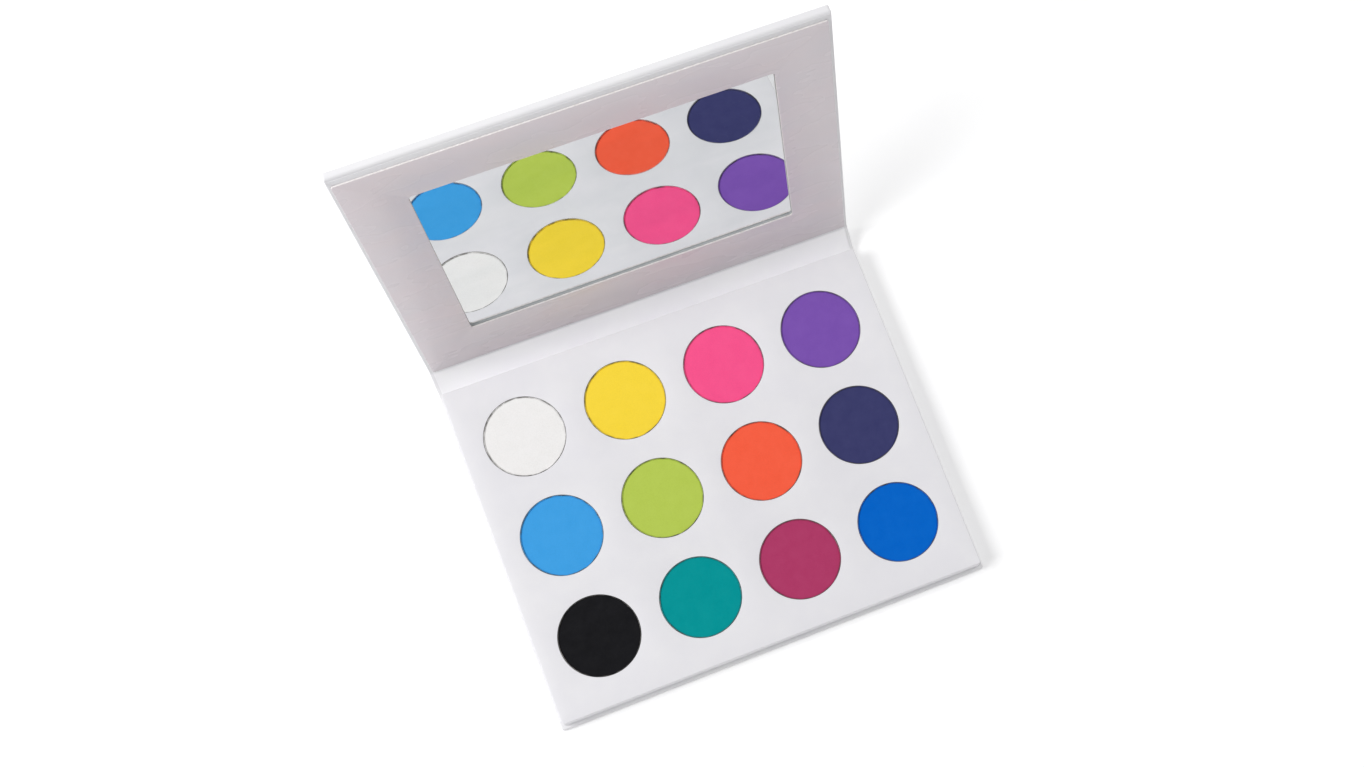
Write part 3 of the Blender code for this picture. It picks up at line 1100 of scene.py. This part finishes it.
@dataclass
class PanPlate(SubAssembly):
    """The tray's top: a paper-covered plate with twelve die-cut holes and its skirt."""

    columns: int = 4
    rows: int = 3
    side_steps: int = 28
    hole_ease: float = 0.1 * MM
    ease_steps: int = 4
    gap: float = 0.14 * MM
    rim_ease: float = 0.3 * MM
    corner: float = 0.9 * MM
    plate: float = 1.2 * MM
    skirt: float = 0.5 * MM

    def cell(self, bm: bmesh.types.BMesh, centre: Vector, half: Vector, hole: float, top: float,
             under: float) -> None:
        """One pan's square of the plate, with its hole.

        Args:
            bm: The plate's mesh.
            centre: The hole's middle.
            half: Half the square's sides.
            hole: The hole's radius.
            top: Height of the plate's face.
            under: Height of its underside.
        """
        n = self.side_steps
        corners = ((half.x, -half.y), (half.x, half.y), (-half.x, half.y), (-half.x, -half.y))
        square = []
        for (ax, ay), (bx, by) in zip(corners, corners[1:] + corners[:1]):
            square += [(ax + (bx - ax) * i / n, ay + (by - ay) * i / n) for i in range(n)]
        angles = [atan2(y, x) for x, y in square]
        sections = [(hole + self.hole_ease * (1 - sin(a)), top - self.hole_ease * (1 - cos(a)))
                    for a in quarter_turn(self.ease_steps)] + [(hole, under)]
        loops: list[tuple[Outline, float]] = [([(centre.x + x, centre.y + y) for x, y in square], top)]
        for radius, height in sections:
            circle = [(centre.x + radius * cos(a), centre.y + radius * sin(a)) for a in angles]
            loops.append((circle, height))
        loops.append((loops[0][0], under))
        last_ease = len(sections) - 1
        stack_loops(bm, loops, looks=lambda band: 1 if band == last_ease else 0)

    def build(self) -> None:
        """Make the plate and its skirt, riding on the base."""
        low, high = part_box("tray_shell")
        first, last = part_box("pan_white"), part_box("pan_royal_blue")
        centres = [(a + b) / 2 for a, b in (first, last)]
        step = Vector(((centres[1].x - centres[0].x) / (self.columns - 1),
                       (centres[0].y - centres[1].y) / (self.rows - 1), 0))
        hole = (first[1].x - first[0].x) / 2 + self.gap
        under = high.z - self.plate
        bm = bmesh.new()
        for row in range(self.rows):
            for column in range(self.columns):
                centre = Vector((centres[0].x + column * step.x, centres[0].y - row * step.y, 0))
                self.cell(bm, centre, step / 2, hole, high.z, under)
        bmesh.ops.remove_doubles(bm, verts=bm.verts[:], dist=MERGE)
        block_x, block_y = self.columns * step.x / 2, self.rows * step.y / 2
        self.margin(bm, block_x, block_y, low, high, under)
        bmesh.ops.remove_doubles(bm, verts=bm.verts[:], dist=MERGE)
        bmesh.ops.recalc_face_normals(bm, faces=bm.faces[:])
        self.ease_outside(bm, high, block_x, block_y)
        looks = [self.finishes.plate, self.finishes.grey_edge]
        plate = piece("pan_plate", bm, looks, ["tray_shell"])
        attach(plate, "base")

    def margin(self, bm: bmesh.types.BMesh, block_x: float, block_y: float, low: Vector, high: Vector,
               under: float) -> None:
        """Make the plate's border and the skirt down to the cover, round the cells' outer edge.

        Args:
            bm: The plate's mesh.
            block_x: Half the cells' block along the hinge.
            block_y: Half the cells' block across it.
            low: The plate's lowest corner.
            high: The plate's highest corner.
            under: Height of the plate's underside.
        """
        nx, ny = self.columns * self.side_steps, self.rows * self.side_steps
        ring = [(block_x, -block_y + 2 * block_y * i / ny) for i in range(ny)]
        ring += [(block_x - 2 * block_x * i / nx, block_y) for i in range(nx)]
        ring += [(-block_x, block_y - 2 * block_y * i / ny) for i in range(ny)]
        ring += [(-block_x + 2 * block_x * i / nx, -block_y) for i in range(nx)]

        def grown(half_x: float, half_y: float) -> Outline:
            """The ring stretched to another rectangle."""
            return [(x * half_x / block_x, y * half_y / block_y) for x, y in ring]

        outer = grown(high.x, high.y)
        inner = grown(high.x - self.skirt, high.y - self.skirt)
        loops = [(ring, high.z), (outer, high.z), (outer, low.z), (inner, low.z), (inner, under),
                 (ring, under)]
        stack_loops(bm, loops)

    def ease_outside(self, bm: bmesh.types.BMesh, high: Vector, block_x: float, block_y: float) -> None:
        """Round the plate's upright corners and its top rim.

        Args:
            bm: The plate's mesh.
            high: The plate's highest corner.
            block_x: Half the cells' block along the hinge.
            block_y: Half the cells' block across it.
        """
        def at_corner(vert: bmesh.types.BMVert) -> bool:
            """Whether a vertex lies on one of the upright corners."""
            return abs(abs(vert.co.x) - high.x) < LEVEL and abs(abs(vert.co.y) - high.y) < LEVEL

        uprights = [e for e in bm.edges if all(at_corner(v) for v in e.verts)]
        bmesh.ops.bevel(bm, geom=uprights, offset=self.corner, segments=6, profile=0.5, affect="EDGES")
        bm.normal_update()
        rim = [e for e in bm.edges if all(abs(v.co.z - high.z) < LEVEL for v in e.verts)
               and len(e.link_faces) == 2 and abs(e.link_faces[0].normal.z - e.link_faces[1].normal.z) > 0.5
               and all(abs(v.co.x) > block_x + MM or abs(v.co.y) > block_y + MM for v in e.verts)]
        bmesh.ops.bevel(bm, geom=rim, offset=self.rim_ease, segments=4, profile=0.5, affect="EDGES")


@dataclass
class PanSet(SubAssembly):
    """Twelve drawn tin pans with their pressed powder cakes."""

    steps: int = 96
    wall: float = 0.18 * MM
    curl: float = 0.08 * MM
    fit: float = 0.01 * MM
    dome: float = 0.05 * MM
    shoulder: float = 0.32 * MM
    slump: float = 0.55
    heel: float = 0.5 * MM
    rim_steps: int = 4
    shoulder_steps: int = 5
    uneven: float = 0.025 * MM
    uneven_patch: float = 7 * MM
    uneven_shift: float = 3.7

    def pan_profile(self, radius: float, foot: float, top: float) -> Outline:
        """Section of a pan, from the middle of its underside to the middle of its floor.

        Args:
            radius: The pan's outer radius.
            foot: Height of its underside.
            top: Height of its lip.

        Returns:
            The section's points.
        """
        inner, curl, heel = radius - self.wall, self.curl, self.heel
        bend = quarter_turn(self.rim_steps)
        profile: Outline = [(0.0, foot)]
        profile += [(radius - heel + heel * sin(a), foot + heel * (1 - cos(a))) for a in bend]
        profile += [(radius - curl * (1 - cos(a)), top - curl * (1 - sin(a))) for a in bend]
        profile += [(inner + curl * (1 - sin(a)), top - curl * (1 - cos(a))) for a in bend]
        return profile + [(inner, foot + self.wall), (0.0, foot + self.wall)]

    def cake_profile(self, radius: float, foot: float, top: float) -> Outline:
        """Section of a powder cake: soft shoulder, then a face that rises very slightly.

        Args:
            radius: The cake's radius.
            foot: Height of its underside.
            top: Height of its middle.

        Returns:
            The section's points.
        """
        profile: Outline = [(0.0, foot), (radius, foot)]
        profile += [(radius - self.shoulder * (1 - cos(a)),
                     top - self.dome - self.shoulder * self.slump * (1 - sin(a)))
                    for a in quarter_turn(self.shoulder_steps)]
        flat = radius - self.shoulder
        shares = (0.95, 0.86, 0.74, 0.6, 0.45, 0.3, 0.15, 0.0)
        return profile + [(flat * s, top - self.dome * s ** 4) for s in shares]

    def build(self) -> None:
        """Make each pan and its cake, riding on the base."""
        for index, shade in enumerate(Shade):
            pan_node, powder_node = "pan_" + shade.node, "powder_" + shade.node
            low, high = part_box(pan_node)
            centre = (low + high) / 2
            radius = (high.x - low.x) / 2
            pan = turned(self.pan_profile(radius, low.z, high.z), centre, self.steps)
            tin = piece("tin_" + pan_node, pan, [self.finishes.tin[shade]], [pan_node])
            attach(tin, "base")
            cake_low, cake_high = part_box(powder_node)
            profile = self.cake_profile(radius - self.wall - self.fit, cake_low.z, cake_high.z)
            cake = turned(profile, centre, self.steps)
            self.settle(cake, cake_high.z, index)
            powder = piece("powder_cake_" + shade.node, cake, [self.finishes.powder[shade]],
                           [powder_node], crisp=60.0)
            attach(powder, "base")

    def settle(self, bm: bmesh.types.BMesh, top: float, index: int) -> None:
        """Let a cake's face wander by a few hundredths of a millimetre, as pressed powder does.

        Args:
            bm: The cake.
            top: Height of its middle.
            index: The cake's number, which sets it apart from the others.
        """
        apart = Vector((0, 0, self.uneven_shift * index))
        for vert in bm.verts:
            if vert.co.z > top - 2 * self.dome:
                vert.co.z += self.uneven * (noise.noise(vert.co / self.uneven_patch + apart) - 0.5)


@dataclass
class LidInside(SubAssembly):
    """What shows inside the lid: the windowed liner sheet and the mirror behind it."""

    skew: float = radians(0.12)
    ease: float = 0.11 * MM
    liner_corner: float = 0.7 * MM
    window_corner: float = 1.0 * MM
    pane_corner: float = 0.3 * MM
    glass_depth: float = 0.4 * MM
    lap: float = 2.5 * MM
    ease_steps: int = 3

    def build(self) -> None:
        """Make the liner sheet and the mirror, riding on the lid."""
        low, high = self.case.box("mirror", self.case.lid)
        window = (high.x - self.lap, low.y + self.lap, high.y - self.lap)
        self.liner(window)
        self.mirror(low, high, window)

    def liner(self, window: tuple[float, float, float]) -> None:
        """Make the liner sheet, glued on a hair out of square, with its cut edges showing the core.

        Args:
            window: Half the window's width, and its near and far side.
        """
        low, high = self.case.box("lid_liner", self.case.lid)
        half, near, far = window
        bends = quarter_turn(self.ease_steps)
        loops: list[tuple[Outline, float]] = [
            (rounded_loop(high.x, low.y, high.y, self.liner_corner), low.z)]
        for a in bends:
            inset = self.ease * (1 - cos(a))
            edge = rounded_loop(high.x - inset, low.y + inset, high.y - inset, self.liner_corner - inset)
            loops.append((edge, high.z - self.ease * (1 - sin(a))))
        for a in reversed(bends):
            inset = self.ease * (1 - cos(a))
            edge = rounded_loop(half + inset, near - inset, far + inset, self.window_corner + inset)
            loops.append((edge, high.z - self.ease * (1 - sin(a))))
        loops.append((rounded_loop(half, near, far, self.window_corner), low.z))
        bm = bmesh.new()
        # The cut core shows on both walls and on the first step of the outer easing
        walls = (0, 1, 2 * len(bends))
        stack_loops(bm, loops, True, lambda band: 1 if band in walls else 0)
        bmesh.ops.recalc_face_normals(bm, faces=bm.faces[:])
        middle = Vector((0, (low.y + high.y) / 2, 0))
        turn = Matrix.Translation(middle) @ Matrix.Rotation(self.skew, 4, "Z") @ Matrix.Translation(-middle)
        sheet = piece("lid_liner_sheet", bm, [self.finishes.liner, self.finishes.white_edge],
                      ["lid_liner"], self.case.lid @ turn)
        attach(sheet, "lid")

    def mirror(self, low: Vector, high: Vector, window: tuple[float, float, float]) -> None:
        """Make the mirror pane. Its silver lies as deep as it looks through the glass.

        Args:
            low: The pane's lowest corner along the lid.
            high: The pane's highest corner along the lid.
            window: Half the window's width, and its near and far side.
        """
        outer = rounded_loop(high.x, low.y, high.y, self.pane_corner)
        inner = rounded_loop(*window, self.window_corner)
        bm = bmesh.new()
        rings = stack_loops(bm, [(outer, low.z), (outer, high.z), (inner, high.z),
                                 (inner, high.z - self.glass_depth)])
        bm.faces.new(reversed(rings[0]))
        bm.faces.new(rings[-1]).material_index = 1
        bmesh.ops.recalc_face_normals(bm, faces=bm.faces[:])
        pane = piece("mirror_pane", bm, [self.finishes.lacquer, self.finishes.silver],
                     ["mirror"], self.case.lid)
        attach(pane, "lid")


@dataclass(frozen=True)
class Softbox:
    """A square soft light that faces the palette."""

    name: str
    at: tuple[float, float, float]
    side: float
    watts: float
    aim: tuple[float, float, float] = (0.0, 0.0, 0.03)

    def hang(self) -> None:
        """Put the light in the studio."""
        light = bpy.data.lights.new(self.name, "AREA")
        light.shape = "SQUARE"
        light.size = self.side
        light.energy = self.watts
        lamp = bpy.data.objects.new(self.name, light)
        lamp.location = self.at
        lamp.rotation_euler = (Vector(self.aim) - Vector(self.at)).to_track_quat("-Z", "Y").to_euler()
        lamp.visible_camera = False
        bpy.context.scene.collection.objects.link(lamp)


@dataclass
class Studio:
    """The pale table, the soft lights and the camera."""

    camera_at: Vector = field(default_factory=lambda: Vector((-0.02635, -0.11875, 0.60743)))
    camera_aim: Vector = field(default_factory=lambda: Vector((0.0675, -0.03362, 0.0088)))
    camera_roll: float = radians(22.124)
    lens_mm: float = 49.61
    shift: tuple[float, float] = (-0.1924, 0.0862)
    sensor_mm: float = 36.0
    ambient: float = 0.35
    table_half: float = 3.0
    table_drop: float = 0.2 * MM
    softboxes: tuple[Softbox, ...] = (
        Softbox("high_left_softbox", (-0.8, 0.1, 0.9), 0.6, 9.7),
        Softbox("high_right_softbox", (0.8, 0.1, 0.9), 0.6, 2.8),
        Softbox("rear_fill", (0.0, 1.2, 0.7), 0.8, 2.5))

    def build(self) -> None:
        """Set the whole studio up."""
        self.table()
        for light in self.softboxes:
            light.hang()
        world = bpy.data.worlds.new("white studio")
        world.use_nodes = True
        sky = world.node_tree.nodes["Background"]
        sky.inputs["Color"].default_value = (1.0, 1.0, 1.0, 1.0)
        sky.inputs["Strength"].default_value = self.ambient
        scene = bpy.context.scene
        scene.world = world
        scene.view_settings.view_transform = "Standard"
        self.camera()

    def table(self) -> None:
        """A plain pale table top just under the palette."""
        bm = bmesh.new()
        bmesh.ops.create_grid(bm, x_segments=8, y_segments=8, size=self.table_half)
        mesh = bpy.data.meshes.new("table_top")
        bm.to_mesh(mesh)
        bm.free()
        mesh.materials.append(StudioFloor().make())
        top = bpy.data.objects.new("table_top", mesh)
        top.location.z = -self.table_drop
        bpy.context.scene.collection.objects.link(top)

    def camera(self) -> None:
        """The camera, high over the front of the palette and rolled."""
        forward = (self.camera_aim - self.camera_at).normalized()
        hinge_way = (Vector((0, 1, 0)) - forward * forward.y).normalized()
        aside = forward.cross(hinge_way)
        up = hinge_way * cos(self.camera_roll) + aside * sin(self.camera_roll)
        turn = Matrix((forward.cross(up), up, -forward)).transposed()
        data = bpy.data.cameras.new("camera")
        data.sensor_fit = "HORIZONTAL"
        data.sensor_width = self.sensor_mm
        data.lens = self.lens_mm
        data.shift_x, data.shift_y = self.shift
        data.clip_start = 0.01
        camera = bpy.data.objects.new("camera", data)
        camera.matrix_world = Matrix.Translation(self.camera_at) @ turn.to_4x4()
        bpy.context.scene.collection.objects.link(camera)
        bpy.context.scene.camera = camera


def dress_solids(frame: dict[str, Any], finishes: Finishes) -> None:
    """Give every CAD solid the finish of the stuff that it is made of.

    Args:
        frame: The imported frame.
        finishes: The finishes.
    """
    table = finishes.by_node()
    for name, obj in frame["nodes"].items():
        start = max((s for s in table if name.startswith(s)), key=len)
        for slot in obj.material_slots:
            slot.material = table[start]


def corners(box: Any) -> list[list[float]]:
    """A box's two corners as plain numbers."""
    return [[float(c) for c in corner] for corner in box]


def main() -> None:
    """Build the palette's looks and the studio."""
    logging.basicConfig(level=logging.INFO, format="%(message)s")
    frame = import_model()
    finishes = Finishes()
    dress_solids(frame, finishes)
    case = CaseAxes(frame)
    WrappedBoard(case, finishes, "base_wrap_paper", "base_wrap", "base", case.base, True, 0.4 * MM).build()
    WrappedBoard(case, finishes, "lid_wrap_paper", "lid_wrap", "lid", case.lid, False, 1.0 * MM).build()
    for kind in (HingePapers, PanPlate, PanSet, LidInside):
        kind(case, finishes).build()
    Studio().build()


if __name__ == "__main__":
    main()
